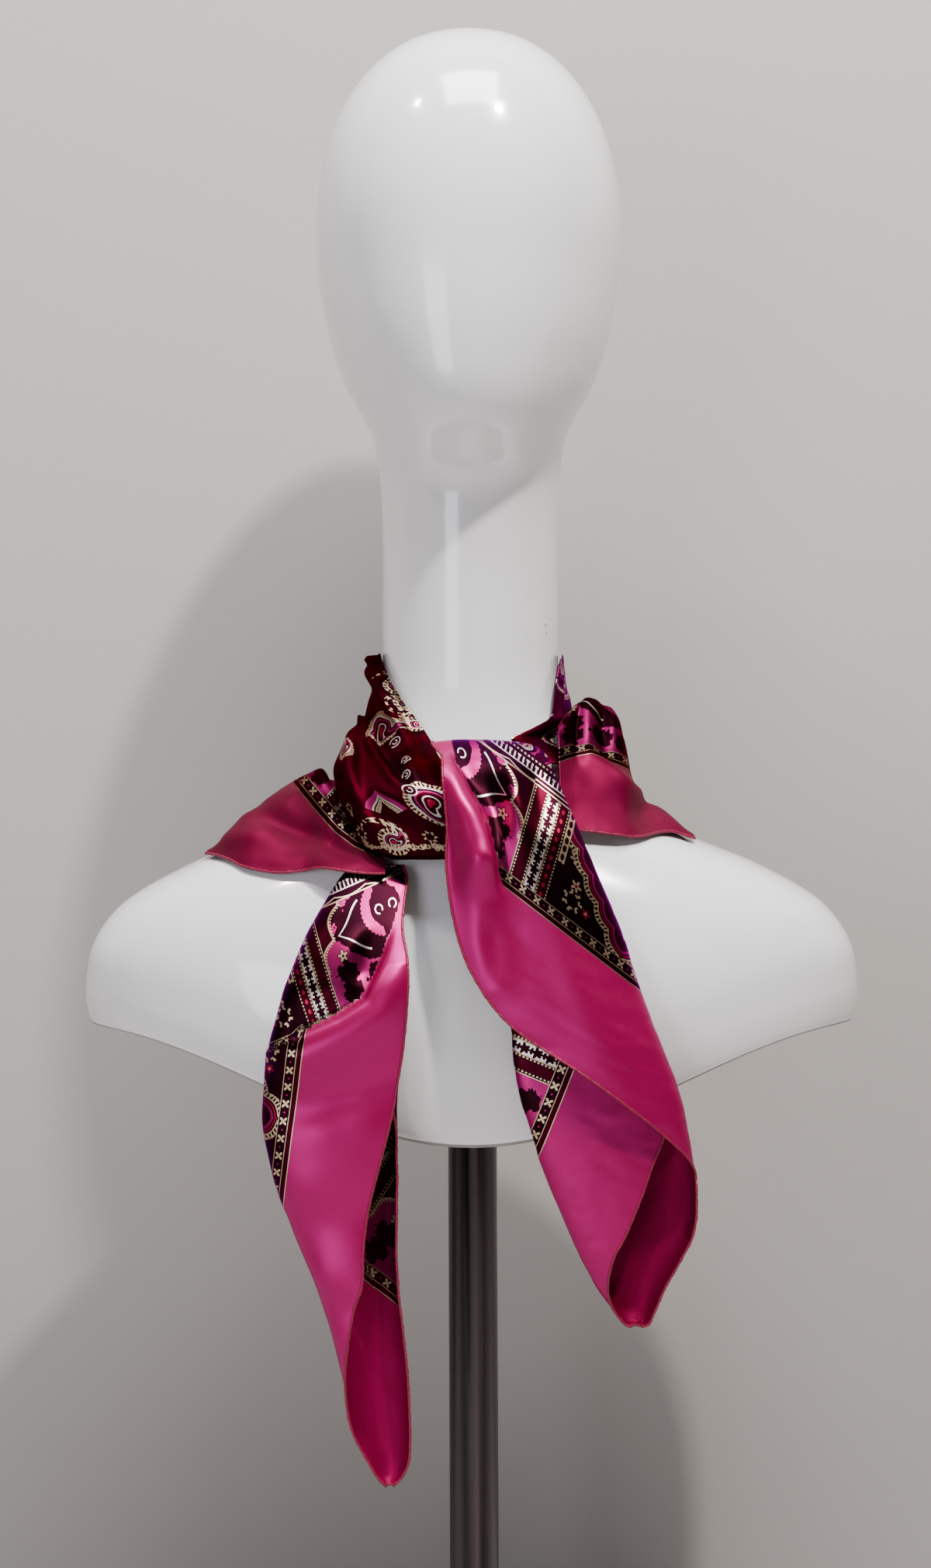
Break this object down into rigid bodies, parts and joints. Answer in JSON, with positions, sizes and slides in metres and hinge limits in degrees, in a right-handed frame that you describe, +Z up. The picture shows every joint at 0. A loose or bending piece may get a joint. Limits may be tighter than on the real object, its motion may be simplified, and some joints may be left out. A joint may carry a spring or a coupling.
{
  "type": "satin scarf on display bust",
  "caption": "Printed satin square tied round the neck of a faceless display bust on a pole stand, its rolled ends hanging in front and its corners lying on the shoulders.",
  "frame": {"origin": "the middle of the base plate's underside", "axes": "+Z up, -Y the front of the bust, +X to the right as seen from the front"},
  "size_m": [0.4, 0.29, 0.9024],
  "materials": {
    "bust_gloss_white": "glossy white lacquered moulding",
    "brushed_steel": "dark satin steel",
    "printed_satin": "shiny satin, magenta border, burgundy paisley print, hand-rolled hem"
  },
  "bodies": {
    "root": {"bust": "bust_gloss_white", "stand_base": "brushed_steel", "stand_pole": "brushed_steel", "scarf_tail_right": "printed_satin", "scarf_tail_left": "printed_satin", "scarf_knot": "printed_satin", "scarf_collar_right": "printed_satin", "scarf_shoulder_left": "printed_satin", "scarf_shoulder_right": "printed_satin", "scarf_collar_back": "printed_satin"}
  },
  "joints": []
}
